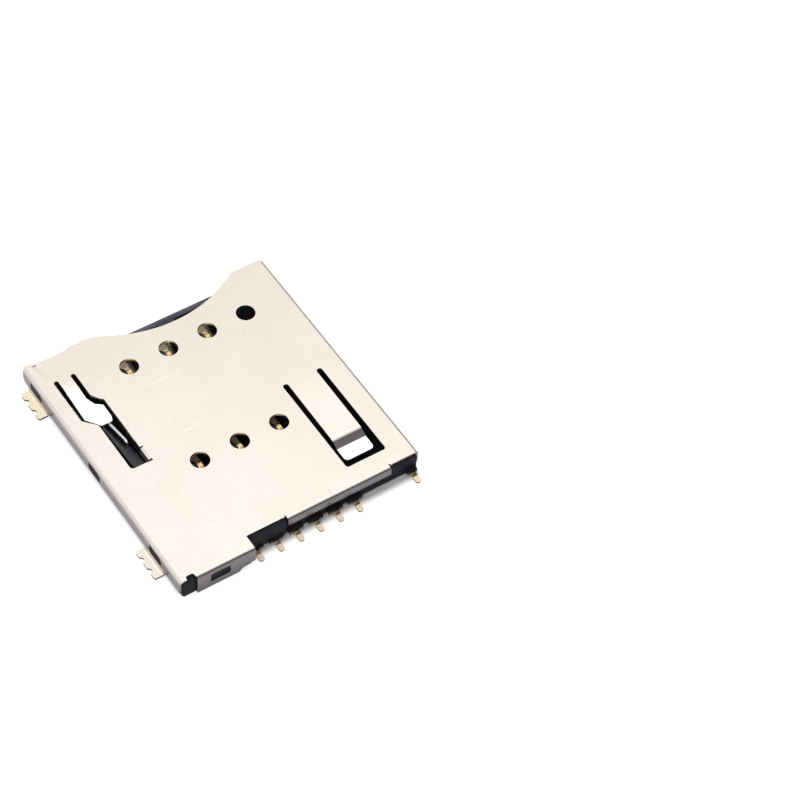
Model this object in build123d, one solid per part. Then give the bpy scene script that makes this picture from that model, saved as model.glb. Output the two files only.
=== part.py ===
from build123d import *
import os

# Push-push card socket for a 15 x 12 mm card, board plane at z = 0.
# +Y is the way the card goes in, +X is the side of the eject mechanism.

# Sheet metal shell
sheet = 0.15
bend_inner = 0.06
bend_outer = bend_inner + sheet
shell_height = 1.40
shell_half = 7.85
shell_front = -8.65
shell_rear = 8.60
under = shell_height - sheet
inner_half = shell_half - sheet
wall_front = shell_front + 0.15
wall_low = shell_height - 0.92
wall_end = shell_rear - 0.19
lip_face = shell_rear - 0.72
lip_minus = -5.92
lip_plus = 0.72
cut_back = lip_face - 0.28
flange_plus = shell_half - 1.00
flange_minus = flange_plus - 3.62
flange_low = 0.04
window_low = shell_height - 0.80
window_high = shell_height - 0.22
window_starts = (-7.62, -1.22, 5.26)
snap_gap = 0.02

# Finger notch of the mouth
notch_mid = -1.20
notch_half = 4.60
notch_deep = 1.45

# Contact grid of the card
pitch_x = 2.54
pitch_y = 7.62
hole_x = 2.695
hole_y = -5.65
hole_dia = 1.12
hole_columns = 4

# Solder tabs and tails
tab_reach = shell_half + 0.525
tab_length = 2.05
tab_front_mid = -6.855
tab_rear_mid = 5.695
lobe_pitch = 0.84
tail_first = 2.795
tail_pitch = pitch_x / 2
tail_end = shell_rear + 0.05
tail_width = 0.33
foot_width = 0.86

# Housing
running = 0.03
channel_height = 0.85
floor_top = under - channel_height
base_low = 0.05
base_front = shell_front + 0.05
base_rear = lip_face - sheet
block_rear = shell_rear - sheet
rear_wall_front = base_rear - 0.63
tail_slot_length = 1.01
tail_slot_rear = rear_wall_front - 0.62
tail_slot_front = tail_slot_rear - tail_slot_length
lane_slot_front = -3.59
lane_slot_step = -2.40
lane_slot_rear = 2.85
wire_window_front = -6.21
wire_window_rear = -3.85
bay_plus = inner_half - 0.22
bay_width = 2.43
mech = bay_plus - bay_width
channel_plus = mech - 0.10
channel_minus = 0.60 - inner_half
edge_break = bend_inner + 0.03

# Contact strip
strip = 0.12
strip_low = 0.12
strip_top = strip_low + strip
strip_mid = strip_low + strip / 2
lead_width = 0.40
tip_half = 0.14
punch_dia = 0.75
lead_turn = 4.60
lead_end = rear_wall_front + 0.10
foot_front = base_rear + 0.02
foot_rear = base_rear + 0.26

# Slider, spring and wire
travel = 3.30
slider_minus = mech + 0.08
slider_plus = bay_plus - 0.08
slider_front = -4.95
slider_rear = 1.50
slider_low = floor_top + running
slider_top = under - 0.07
lane_floor = floor_top + 0.16
arm_rear = rear_wall_front - 0.08 - travel
spring_x = bay_plus - 0.68
spring_mid = floor_top + 0.38
spring_wire = 0.15
spring_outer = 0.90
spring_seat = block_rear - 0.45
spring_turns = 15
spring_room = spring_outer / 2 + running
wire = 0.28
wire_mid = floor_top + 0.44
pivot_x = mech + 1.05
pivot_y = -7.08
pivot_bore = 0.43
tip_x = mech + 0.20
tip_y = -1.50


def block(x0, x1, y0, y1, z0, z1):
    """Box between two corners."""
    return Pos((x0 + x1) / 2, (y0 + y1) / 2, (z0 + z1) / 2) * Box(x1 - x0, y1 - y0, z1 - z0)


def plan(points, z0, z1, x=0):
    """Upright prism over an outline drawn in plan, its X values counted from x."""
    return extrude(Pos(x, 0, z0) * make_face(Polyline(*points, close=True)), z1 - z0)


def side(points, x0, x1):
    """Prism along X over an outline drawn in Y and Z."""
    face = make_face(Polyline(*[(x0, y, z) for y, z in points], close=True))
    return extrude(face, x1 - x0, dir=(1, 0, 0))


def pin(x, y, dia, z0, z1):
    """Upright round bar or bore."""
    return Pos(x, y, (z0 + z1) / 2) * Cylinder(dia / 2, z1 - z0)


def upright(solid):
    """Edges that stand along Z."""
    return solid.edges().filter_by(Axis.Z)


def both_sides(solid):
    """The solid and its mirror image on the other long side."""
    return [solid, mirror(solid, Plane.YZ)]


def rooted(tongue, x0, x1, y, z0, z1, radius):
    """Tongue with a piece of the sheet before it, so that the slots beside it end round."""
    tongue += block(x0, x1, y - 0.2, y, z0, z1)
    return fillet(upright(tongue).filter_by_position(Axis.Y, y - 0.01, y + 0.01), radius)


def bent_strip(points, width, thickness, across=(1, 0, 0)):
    """Sheet strip swept along a bent centre line."""
    path = Polyline(*points)
    start = Plane(origin=path @ 0, x_dir=across, z_dir=path % 0)
    return sweep(start * Rectangle(width, thickness), path=path, transition=Transition.RIGHT)


def bend_down(low, run=0.3):
    """Outline of a flap bent down from the top sheet, outer face at zero, with some top sheet kept."""
    ring = Circle(bend_outer) - Circle(bend_inner)
    arc = ring & (Pos(bend_outer, bend_outer) * Rectangle(2 * bend_outer, 2 * bend_outer))
    top = Pos(-run / 2, bend_inner + sheet / 2) * Rectangle(run, sheet)
    leg_length = shell_height - bend_outer - low
    leg = Pos(bend_inner + sheet / 2, -leg_length / 2) * Rectangle(sheet, leg_length)
    return Pos(-bend_outer, shell_height - bend_outer) * (arc + top + leg)


# Shell: top and side walls drawn as one bent channel
outer = block(-shell_half, shell_half, shell_front, shell_rear - bend_outer, wall_low, shell_height)
outer = fillet(outer.edges().filter_by(Axis.Y).group_by(Axis.Z)[-1], bend_outer)
inner = block(-inner_half, inner_half, shell_front - 1, shell_rear + 1, wall_low - 1, under)
inner = fillet(inner.edges().filter_by(Axis.Y).group_by(Axis.Z)[-1], bend_inner)
shell = outer - inner

# Rear outline of the top
shell -= block(-shell_half - 1, flange_minus, cut_back, shell_rear + 1, 0, 2)
shell -= block(inner_half, shell_half + 1, wall_end, shell_rear + 1, 0, 2)
knob_notch = block(flange_plus + 0.03, shell_half - 0.47, shell_rear - 0.42, shell_rear + 1, under - 0.1, 2)
shell -= fillet(upright(knob_notch).group_by(Axis.Y)[0], 0.14)

# Mouth outline of the top, with the finger notch
notch_run = notch_half - 1.085
notch_deepest = shell_front + notch_deep
notch_shoulder = notch_deepest - 0.83
notch_arc = ThreePointArc(
    (notch_mid - notch_run, notch_shoulder),
    (notch_mid, notch_deepest),
    (notch_mid + notch_run, notch_shoulder),
)
mouth_line = Polyline(
    notch_arc @ 1,
    (notch_mid + notch_half, shell_front + 0.10),
    (mech - 1.00, shell_front + 0.05),
    (mech - 0.10, shell_front + 0.05),
    (mech + 0.05, shell_front + 0.17),
    (bay_plus - 0.39, shell_front + 0.17),
    (bay_plus - 0.39, shell_front + 0.30),
    (bay_plus - 0.19, shell_front + 0.30),
    (bay_plus - 0.19, shell_front - 1),
    (notch_mid - notch_half, shell_front - 1),
    (notch_mid - notch_half, shell_front),
    notch_arc @ 0,
)
shell -= extrude(Pos(0, 0, under - 0.1) * make_face([notch_arc, mouth_line]), 1.0)

# Front ends of the side walls, with their rounded lower corners
nose_round = 0.30
nose = block(
    inner_half - 0.1,
    shell_half + 0.1,
    wall_front,
    wall_front + nose_round,
    wall_low - 0.1,
    wall_low + nose_round,
)
nose -= Pos(inner_half, wall_front + nose_round, wall_low + nose_round) * Rot(0, 90, 0) * Cylinder(nose_round, 2)
for cut in both_sides(nose) + both_sides(block(inner_half, shell_half + 1, shell_front - 1, wall_front, 0, 2)):
    shell -= cut

# Windows of the side walls, each with a snap wedge of the housing behind it
window_line = [
    (0.00, window_low + 0.12),
    (0.00, window_high - 0.06),
    (0.07, window_high),
    (0.95, window_high),
    (1.22, window_high - 0.14),
    (1.22, window_low),
    (0.12, window_low),
]
window_face = make_face(Polyline(*window_line, close=True))
snap_face = offset(window_face, -snap_gap, kind=Kind.INTERSECTION)
snap_slope = [
    (inner_half - 0.2, window_high),
    (inner_half + 0.03, window_high),
    (shell_half - 0.03, window_high - 0.32),
    (shell_half - 0.03, window_low),
    (inner_half - 0.2, window_low),
]
snap_wedge = extrude(Plane.XZ * make_face(Polyline(*snap_slope, close=True)), 2, both=True)
snaps = []
for start in window_starts:
    wall_plane = Plane.YZ * Pos(start, 0, inner_half)
    for cut in both_sides(extrude(wall_plane * window_face, 0.5, both=True)):
        shell -= cut
    snap = extrude(wall_plane * snap_face, 0.2, both=True) & Pos(0, start, 0) * snap_wedge
    snaps += both_sides(snap)

# Rear flange on the mechanism side, with tapered foot and window
flange = extrude(Plane.YZ * Pos(shell_rear, 0) * bend_down(flange_low), flange_plus - flange_minus)
foot_taper = [(-0.2, -0.1), (1.02, -0.1), (1.02, flange_low), (0.82, 0.25), (0.06, 0.40), (-0.2, 0.43)]
flange_hole = [(1.62, 0.48), (1.55, 0.62), (1.60, 1.04), (1.67, 1.10), (2.66, 1.11), (2.78, 1.02), (2.81, 0.48)]
for outline in (foot_taper, flange_hole):
    face = make_face(Polyline(*outline, close=True))
    flange -= extrude(Plane.XZ * face, shell_rear, both=True)
shell += Pos(flange_minus, 0, 0) * flange

# Rear lip over the tails
lip = extrude(Plane.YZ * Pos(lip_face, 0) * bend_down(under - 0.38), lip_plus - lip_minus)
shell += Pos(lip_minus, 0, 0) * lip
shell -= block(lip_minus - 0.08, lip_minus, cut_back - 0.08, lip_face, under - 0.1, 2)
shell -= block(lip_plus, lip_plus + 0.08, cut_back - 0.08, lip_face, under - 0.1, 2)

# Solder tabs, bent out from the walls, each with three lobes
tab_ring = Circle(bend_outer) - Circle(bend_inner)
tab_ring &= Pos(-bend_outer, -bend_outer) * Rectangle(2 * bend_outer, 2 * bend_outer)
wall_length = wall_low + 0.1 - bend_outer
tab_wall = Pos(-bend_inner - sheet / 2, wall_length / 2) * Rectangle(sheet, wall_length)
tab_run = tab_reach - shell_half - bend_inner
tab_foot = Pos(tab_run / 2, -bend_inner - sheet / 2) * Rectangle(tab_run, sheet)
tab_outline = Plane.XZ * Pos(shell_half + bend_inner, bend_outer) * (tab_ring + tab_wall + tab_foot)
tab = extrude(tab_outline, tab_length / 2, both=True)
for y in (-lobe_pitch / 2, lobe_pitch / 2):
    tab -= pin(tab_reach - 0.02, y, 0.32, -0.1, 0.3)
tab = fillet(upright(tab).group_by(Axis.X)[-1], 0.13)
relief_y = tab_length / 2
relief = block(inner_half - 0.1, shell_half + 0.1, relief_y, relief_y + 0.14, wall_low - 0.1, wall_low + 0.12)
for y in (tab_front_mid, tab_rear_mid):
    for solid in both_sides(Pos(0, y, 0) * tab):
        shell += solid
    for cut in both_sides(Pos(0, y, 0) * relief):
        shell -= cut

# Round holes over the contact points
for column in range(hole_columns):
    shell -= pin(hole_x - column * pitch_x, hole_y, hole_dia, under - 0.1, 2)
for column in range(hole_columns - 1):
    shell -= pin(hole_x - column * pitch_x, hole_y + pitch_y, hole_dia, under - 0.1, 2)

# Opening over the slider, seen from the inner wall of its bay
paddle_root = -6.80
paddle_bend = -6.15
paddle_tip = -2.98
paddle_drop = 0.25
slot_minus = 0.49
slot_plus = 1.83
slide_window = [
    (slot_plus, paddle_root),
    (slot_plus, -3.66),
    (1.16, -2.93),
    (1.16, 0.62),
    (0.00, 0.62),
    (0.00, -4.35),
    (0.19, -4.55),
    (slot_minus, -5.00),
    (slot_minus, paddle_root),
]
opening = plan(slide_window, under - 0.1, 2, mech)
opening = fillet(upright(opening).group_by(Axis.Y)[0], 0.12)
shell -= opening

# Paddle tongue that keeps the wire down
paddle_outline = [
    (slot_plus - 0.28, paddle_root - 0.2),
    (slot_plus - 0.26, -3.75),
    (0.93, paddle_tip),
    (0.25, paddle_tip),
    (0.15, -3.30),
    (0.17, -4.15),
    (0.55, -4.42),
    (slot_minus + 0.28, -4.96),
    (slot_minus + 0.28, paddle_root - 0.2),
]
paddle_side = [
    (paddle_root - 0.2, shell_height),
    (paddle_bend, shell_height),
    (paddle_tip + 0.1, shell_height - paddle_drop),
    (paddle_tip + 0.1, under - paddle_drop),
    (paddle_bend, under),
    (paddle_root - 0.2, under),
]
paddle = plan(paddle_outline, under - 0.8, 2, mech)
paddle = fillet(upright(paddle).group_by(Axis.Y)[-1], 0.12)
paddle = rooted(paddle, mech + slot_minus, mech + slot_plus, paddle_root, under - 0.8, 2, 0.12)
shell += paddle & side(paddle_side, mech, bay_plus)

# Latch tongue that presses on the card
latch_mid = -5.15
latch_half = 1.28
latch_slot = 0.34
latch_root = -0.10
latch_tip = 5.95
latch_rear = latch_tip + 0.60
latch_crease = 4.50
latch_ramp = 0.55
latch_opening = block(latch_mid - latch_half, latch_mid + latch_half, latch_root, latch_rear, under - 0.1, 2)
shell -= fillet(upright(latch_opening), latch_slot / 2 - 0.01)
tongue_half = latch_half - latch_slot
latch_plan = block(latch_mid - tongue_half, latch_mid + tongue_half, latch_root - 0.2, latch_tip, under - 0.8, 2)
latch_plan = fillet(upright(latch_plan).group_by(Axis.Y)[-1], 0.25)
latch_ends = (latch_mid - latch_half, latch_mid + latch_half, latch_root, under - 0.8, 2)
latch_plan = rooted(latch_plan, *latch_ends, latch_slot / 2 - 0.01)
latch_top = [
    (latch_root - 0.2, 0),
    (latch_root + 0.15, 0),
    (latch_crease, -0.05),
    (latch_crease + latch_ramp, -0.31),
    (latch_tip + 0.05, -0.33),
]
latch_side = [(y, shell_height + z) for y, z in latch_top]
latch_side += [(y - 0.04 * (z < -0.01), under + z) for y, z in reversed(latch_top)]
shell += latch_plan & side(latch_side, latch_mid - 2, latch_mid + 2)

# Lug bent down beside the divider wall
lug_front = -0.41
lug_rear = 0.50
lug_face = mech + 0.03
lug_low = under - 0.35
shell -= block(lug_face - bend_outer, mech + 0.2, lug_front - 0.08, lug_rear + 0.14, under - 0.1, 2)
lug = extrude(Plane.XZ * bend_down(lug_low), lug_rear - lug_front)
shell += Pos(lug_face, lug_rear, 0) * lug


def make_contact(x, frame_half, y0, y1, rear_bar, root_width, bend_y, apex_y, lead_points):
    """Frame, spring beam and lead of one stamped contact."""
    frame = block(x - frame_half, x + frame_half, y0, y1, strip_low, strip_top)
    frame -= block(x - frame_half + 0.17, x + frame_half - 0.17, y0 + 0.14, y1 - rear_bar, 0, 1)
    beam_line = [
        (x, y0 + 0.10, strip_mid),
        (x, bend_y, strip_mid),
        (x, apex_y - 0.30, floor_top + 0.44),
        (x, apex_y - 0.12, floor_top + 0.51),
        (x, apex_y + 0.06, floor_top + 0.52),
        (x, apex_y + 0.20, floor_top + 0.46),
        (x, apex_y + 0.32, floor_top + 0.30),
    ]
    half_root = root_width / 2
    neck = root_width * 0.37
    half_outline = [
        (half_root, y0),
        (half_root, bend_y),
        (neck, apex_y - 0.52),
        (neck - 0.04, apex_y - 0.42),
        (tip_half, apex_y - 0.34),
        (tip_half, apex_y + 1),
    ]
    outline = half_outline + [(-w, y) for w, y in reversed(half_outline)]
    beam = bent_strip(beam_line, root_width, strip) & plan(outline, 0, 2, x)
    return frame + beam + bent_strip(lead_points, strip, lead_width, across=(0, 0, 1))


def make_tail(x, bar_width):
    """Foot bar and solder tail where the strip leaves the housing."""
    bar = block(x - bar_width / 2, x + bar_width / 2, foot_front, foot_rear, strip_low, strip_top)
    line = [
        (x, lead_end, strip_mid),
        (x, foot_rear + 0.04, strip_mid),
        (x, foot_rear + 0.23, strip / 2),
        (x, tail_end, strip / 2),
    ]
    rounded = block(x - tail_width / 2, x + tail_width / 2, lead_end, tail_end, -1, 1)
    rounded = fillet(upright(rounded).group_by(Axis.Y)[-1], 0.14)
    return bar + (bent_strip(line, tail_width, strip) & rounded)


# Six contacts, a front and a back one in each column, punched apart at a round hole
back_y = hole_y + pitch_y
front_row = (hole_y - 2.50, hole_y + 1.06)
back_row = (back_y - 2.59, back_y + 1.28)
bar_y = front_row[1] - 0.06
punch_y = back_y - 4.51
lead_rear = foot_front - 0.15
contacts = {}
windows = []
for index, letter in enumerate("abc"):
    x = hole_x - index * pitch_x
    lead_x = x + tail_pitch
    tail_front = tail_first - 2 * index * tail_pitch
    tail_back = tail_front - tail_pitch
    punch = pin(x, punch_y, punch_dia, 0, 1)

    lead = [(lead_x, bar_y + 0.20), (lead_x, lead_turn), (tail_front, lead_end), (tail_front, lead_rear)]
    lead = [(a, b, strip_mid) for a, b in lead]
    front = make_contact(x, 0.80, *front_row, 0.11, 0.70, hole_y - 1.70, hole_y, lead)
    front += block(x + 0.20, lead_x + lead_width / 2, bar_y, bar_y + 0.35, strip_low, strip_top)
    front += block(x - 0.20, x + 0.20, bar_y, punch_y, strip_low, strip_top) - punch
    contacts["contact_front_" + letter] = front + make_tail(tail_front, foot_width)

    lead = [(x, back_row[1] - 0.20), (x, lead_turn), (tail_back, lead_end), (tail_back, lead_rear)]
    lead = [(a, b, strip_mid) for a, b in lead]
    back = make_contact(x, 0.665, *back_row, 0.30, 0.50, back_y - 1.80, back_y, lead)
    back += block(x - 0.20, x + 0.20, punch_y, back_row[0] + 0.07, strip_low, strip_top) - punch
    contacts["contact_back_" + letter] = back + make_tail(tail_back, foot_width)

    for half, (y0, y1) in ((0.80, front_row), (0.665, back_row)):
        windows.append(block(x - half, x + half, y0, y1, -1, strip_low))
        windows.append(block(x - half + running, x + half - running, y0 + 0.04, y1 - 0.04, -1, 2))

# Card detect terminal, in a pocket of the side wall
detect_x = channel_minus + 0.02
detect_tail = detect_x - 0.25
detect_y = rear_wall_front - 0.26
detect_line = [
    (detect_x, detect_y + 0.18, strip_mid),
    (detect_x, detect_y - 0.22, strip_mid),
    (detect_x, detect_y - 0.84, floor_top + 0.46),
    (detect_x, detect_y - 1.04, floor_top + 0.46),
    (detect_x, detect_y - 1.20, floor_top + 0.30),
]
detect_terminal = bent_strip(detect_line, 0.26, strip)
detect_terminal += block(detect_tail - 0.17, detect_x + 0.13, detect_y, detect_y + 0.30, strip_low, strip_top)
detect_terminal += block(detect_tail - 0.17, detect_tail + 0.17, detect_y + 0.16, lead_rear, strip_low, strip_top)
detect_terminal += make_tail(detect_tail, 0.54)

# Slider with its arm for the corner of the card and the cam lane in its top
slider = block(slider_minus, slider_plus, slider_front, slider_rear, slider_low, slider_top)
slider += block(slider_minus, mech + 1.10, slider_rear - 0.2, arm_rear, slider_low, slider_top)
slider += plan([(0.28, 2.05), (-1.10, 3.20), (-1.10, arm_rear), (0.28, arm_rear)], slider_low, slider_top, mech)
lane_front = slider_front - 0.10
lane = [(-0.05, lane_front), (1.69, lane_front), (1.69, -3.30), (1.37, -2.80), (1.37, 0.75), (-0.05, 0.75)]
ridge = [(0.90, -2.90), (1.01, -2.74), (0.88, 0.90), (0.65, 0.90), (0.75, -1.60)]
lane_step = [(0.08, -0.70), (0.70, -0.70), (0.70, 0.80), (0.08, 0.80)]
slider -= plan(lane, lane_floor, 2, mech)
slider += plan(ridge, lane_floor - 0.05, slider_top, mech)
slider += plan(lane_step, lane_floor - 0.05, lane_floor + 0.16, mech)
slider += Pos(spring_x, slider_rear + 0.25, spring_mid) * Box(0.36, 0.70, 0.36)

# Coil spring behind the slider
spring_length = spring_seat - slider_rear - spring_wire
helix = Helix(spring_length / spring_turns, spring_length, (spring_outer - spring_wire) / 2)
helix = Pos(spring_x, slider_rear + spring_wire / 2, spring_mid) * Rot(-90, 0, 0) * helix
chords = 7 * spring_turns
coil = Polyline(*[helix @ (step / chords) for step in range(chords + 1)])
coil_start = Plane(origin=coil @ 0, z_dir=coil % 0)
eject_spring = sweep(coil_start * RegularPolygon(spring_wire / 2, 6), path=coil, transition=Transition.RIGHT)

# Bent wire between the pivot hole and the cam lane
wire_line = FilletPolyline(
    (pivot_x, pivot_y, strip_low),
    (pivot_x, pivot_y, wire_mid),
    (mech + 0.42, tip_y - 1.60, wire_mid),
    (tip_x, tip_y, wire_mid),
    (tip_x, tip_y, lane_floor + running),
    radius=0.19,
)
wire_start = Plane(origin=wire_line @ 0, z_dir=wire_line % 0)
cam_pin = sweep(wire_start * RegularPolygon(wire / 2, 6), path=wire_line)

# Housing: floor and walls
housing = block(-inner_half, inner_half, base_front, base_rear, base_low, under)
housing = chamfer(housing.edges().group_by(Axis.Z)[-1], edge_break)
rear_block = block(flange_minus + 0.22, inner_half, base_rear - 0.5, block_rear, base_low, under)
rear_block = chamfer(rear_block.edges().group_by(Axis.Z)[-1], edge_break)
housing += chamfer(rear_block.edges().group_by(Axis.Z)[0].group_by(Axis.X)[-1], 0.12)
for snap in snaps:
    housing += snap
housing -= block(channel_minus, channel_plus, base_front - 1, rear_wall_front, floor_top, 2)
housing -= block(mech, bay_plus, base_front + 0.50, spring_seat, floor_top, 2)
housing -= block(channel_plus - 0.2, mech + 0.2, 1.95, rear_wall_front, floor_top, 2)
spring_trough = block(-spring_room, spring_room, slider_rear - 0.2, spring_seat, -spring_room, 1)
housing -= Pos(spring_x, 0, spring_mid) * spring_trough
lead_low = floor_top - 0.23
lead_in = [(base_front - 0.1, lead_low), (base_front, lead_low), (base_front + 0.35, floor_top), (base_front, 1)]
housing -= side(lead_in, channel_minus, channel_plus)

# Pivot boss for the wire, divider notch for the lug
boss_top = wire_mid - wire / 2 - 0.02
housing += block(pivot_x - 0.55, pivot_x + 0.60, pivot_y - 0.52, pivot_y + 0.53, floor_top - 0.05, boss_top)
housing -= pin(pivot_x, pivot_y, pivot_bore, 0, 2)
housing -= block(channel_plus - 0.1, mech + 0.1, lug_front - 0.06, lug_rear + 0.06, lug_low - 0.05, 2)

# Windows, test recesses and slots of the underside
for solid in windows:
    housing -= solid
for index in range(hole_columns):
    x = hole_x - index * pitch_x
    housing -= block(x - 0.61, x + 0.61, punch_y - 0.51, punch_y + 0.51, 0, strip_low)
    housing -= pin(x, punch_y, punch_dia, 0, 1)
    depth = strip_low if index < 3 else strip_top
    lead_x = x + tail_pitch
    housing -= block(lead_x - 0.175, lead_x + 0.175, 0.42, 1.45, 0, depth)
for index in range(8):
    x = tail_first + tail_pitch / 2 - index * tail_pitch
    depth = strip_low if index < 6 else strip_top
    housing -= block(x - 0.18, x + 0.18, tail_slot_front, tail_slot_rear, 0, depth)
housing -= block(channel_plus - 0.49, channel_plus - 0.04, lane_slot_front, lane_slot_rear, 0, strip_low)
housing -= block(channel_plus - 0.49, channel_plus - 0.04, lane_slot_front, lane_slot_step, 0, strip_top)
recess_x = channel_minus + 0.74
recess_y = -0.68
recess = 0.49
housing -= block(recess_x - recess, recess_x + recess, recess_y - recess, recess_y + recess, 0, strip_low)
housing -= Pos(recess_x - 0.04, recess_y + 0.08, 0) * extrude(RegularPolygon(0.20, 10), strip_top)
housing -= block(bay_plus - 0.64, bay_plus - 0.07, wire_window_front, wire_window_rear, -1, 1)
housing -= block(spring_x - 0.58, spring_x + 0.62, spring_seat - 2.07, spring_seat - 0.07, -1, 1)
housing -= block(detect_x - 0.15, detect_x + 0.15, detect_y - 0.97, detect_y - 0.04, -1, 1)
housing -= block(detect_x - 0.22, detect_x + 0.22, detect_y - 1.39, detect_y, strip_low, 2)

# Plastic feet over the tails, rear hump and corner knob
feet = [(tail_first - index * tail_pitch, 0.44) for index in range(6)] + [(detect_tail + 0.05, 0.32)]
for x, half in feet:
    foot = block(x - half, x + half, base_rear - 0.1, foot_rear, strip_top, floor_top + 0.04)
    housing += foot - block(x - 0.18, x + 0.18, foot_rear - 0.11, foot_rear + 0.1, 0, 1)
hump_minus = lip_plus + 0.14
hump_plus = flange_minus - 0.08
housing += block(hump_minus, hump_plus, base_rear - 0.1, lip_face, strip_top, under)
housing += block(hump_minus, hump_plus, cut_back + 0.03, lip_face, under - 0.1, shell_height - 0.04)
knob = block(
    flange_plus + 0.06,
    flange_plus + 0.50,
    shell_rear - 0.38,
    block_rear,
    under - 0.1,
    shell_height - 0.03,
)
knob = chamfer(knob.edges().filter_by(Axis.Y).group_by(Axis.Z)[-1], 0.09)
housing += chamfer(upright(knob).group_by(Axis.Y)[0], 0.10)
flange_snap = offset(make_face(Polyline(*flange_hole, close=True)), -snap_gap, kind=Kind.INTERSECTION)
flange_snap = extrude(Plane.XZ * flange_snap, shell_rear - 0.05, both=True)
housing += Pos(flange_minus, 0, 0) * (flange_snap & block(0, 5, block_rear - 0.1, shell_rear, 0, 2))

# The strips are moulded in, so the plastic closes round them
for solid in contacts.values():
    housing -= solid
housing -= detect_terminal

pieces = {
    "shell": shell,
    "housing": housing,
    "detect_terminal": detect_terminal,
    "slider": slider,
    "eject_spring": eject_spring,
    "cam_pin": cam_pin,
}
pieces.update(contacts)
os.makedirs("parts", exist_ok=True)
for name, solid in pieces.items():
    export_step(solid, "parts/" + name + ".step")
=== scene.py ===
"""Push-push card socket: finishes, springs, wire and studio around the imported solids."""

import math

import bmesh
import bpy
from bpy.props import FloatProperty, IntProperty, PointerProperty, StringProperty
from mathutils import Matrix, Vector


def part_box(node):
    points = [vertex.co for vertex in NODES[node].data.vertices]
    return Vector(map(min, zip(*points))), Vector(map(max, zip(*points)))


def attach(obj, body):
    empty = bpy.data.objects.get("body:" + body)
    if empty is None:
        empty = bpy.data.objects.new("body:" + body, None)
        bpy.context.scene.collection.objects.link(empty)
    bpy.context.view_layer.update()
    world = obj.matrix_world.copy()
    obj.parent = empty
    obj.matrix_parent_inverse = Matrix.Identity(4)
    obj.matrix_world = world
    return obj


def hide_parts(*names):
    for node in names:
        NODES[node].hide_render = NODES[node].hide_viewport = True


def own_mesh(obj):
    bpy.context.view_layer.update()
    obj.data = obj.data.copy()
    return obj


bl_info = {
    "name": "Card Socket",
    "version": (1, 0, 0),
    "blender": (4, 5, 0),
    "location": "View3D > Sidebar > Card Socket",
    "description": "Dresses a push-push card socket with its finishes, spring, wire and studio",
    "category": "Object",
}

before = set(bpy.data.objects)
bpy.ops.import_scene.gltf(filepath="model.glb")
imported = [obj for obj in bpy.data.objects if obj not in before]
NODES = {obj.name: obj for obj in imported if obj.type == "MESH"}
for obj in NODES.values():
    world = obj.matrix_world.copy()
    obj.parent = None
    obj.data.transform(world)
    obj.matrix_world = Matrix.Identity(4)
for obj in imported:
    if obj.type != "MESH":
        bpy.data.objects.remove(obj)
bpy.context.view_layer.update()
CONTACTS = [name for name in sorted(NODES) if name.startswith("contact_")]

MM = 0.001

# Places in millimetres where the finishes and the painted light and shade of the shell change, with spans
# from low to high
WALL_X = 7.60  # the side walls are bent down beyond this, on both sides
REAR_FOLD_Y = 7.66  # the rear lip and flange are bent down behind this
FOLD_TOP_Z = 1.395  # the painted shade of a fold starts below this
FOLD_SHADE_Z = (1.16, 1.355)  # and is full grey below these: on the mechanism's side, and elsewhere
FEEDER_MARKS = (((0.50, 2.67), -3.90), ((1.27, 2.59), -0.20))  # each with its span in x, and its y
PADDLE_X, PADDLE_Y = (5.20, 6.95), (-6.3, -2.9)
PAINTED_HIGHLIGHT_Z = (1.375, 1.392)  # below the top face the paddle is painted bright in this span, a painted highlight
LATCH_X = (-6.20, -4.14)
LATCH_TONGUE_X, LATCH_TONGUE_Y = (-6.12, -4.18), (0.9, 4.6)
LATCH_RAMP_Y = (4.50, 5.045)
LATCH_TIP_Y = (5.06, 6.2)
PLATED_Y = 6.90  # the plating ends here, before the foot of the rear flange
PLATED_Z = (0.485, 0.50)  # and ends at this height, at the cut edge of the walls
TAB_BEND_Z = (0.22, 0.41)
TAB_EDGE_Z = (0.02, 0.125)
TAB_SOLE_Z = (0.01, 0.02)

# The same for the contacts and the base
POINT_Z = (0.84, 0.91)  # the gold of a contact point starts in this span
STRIP_BELOW_Z = (0.125, 0.135)
PAD_Y = (8.20, 8.28)  # the dipped pad of a tail starts in this span
PAD_EDGE_Z = (0.02, 0.095)
MOUTH_Y = (-8.0, -6.2)  # the paler skin of the base, a painted sheen there, ends in this span at the mouth
UNDERSIDE_Z = (0.10, 0.13)  # and in this one above the underside

# Where the paper under the socket has a painted shadow
SHADOW_X, SHADOW_Y = (-7.45, 7.45), (-8.0, 8.0)

# Fades in millimetres, at the border of a finish
FADE = 0.03
EDGE_FADE = 0.015
CREASE_FADE = 0.02
RAMP_FADE = 0.14
BEND_FADE = 0.07
TONGUE_FADE = 0.6
SHADOW_FADE = 0.4

# Every noise: the share of strength that each finer octave keeps, and the values that it mostly fills
OCTAVE = 0.55
NOISE_SPAN = {"From Min": 0.3, "From Max": 0.7}
SAND_SPAN = {"From Min": 0.34, "From Max": 0.66}

# How a copy of a CAD node is cleaned, rounded and shaded
WELD = 2e-8  # metres, joins the loose triangles
FLAT_ANGLE = math.radians(0.3)  # faces that meet flatter than this become one
CRISP_ANGLE = math.radians(22)  # edges that turn further than this are rounded
CRISP_STEPS, SOFT_STEPS = 2, 6
SMOOTH_TURN = 20.0  # degrees, edges that turn less are shaded smooth
WIDE_SMOOTH_TURN = 1.5  # the same between two wide faces
WIDE_FACE = 0.25 * MM * MM

# Studio: the lamp, in metres and watts
LAMP_TOWARD = (-0.40, -0.36, 0.84)
LAMP_DISTANCE = 0.28
LAMP_SIZE = 0.22
LAMP_POWER = 0.04

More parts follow.
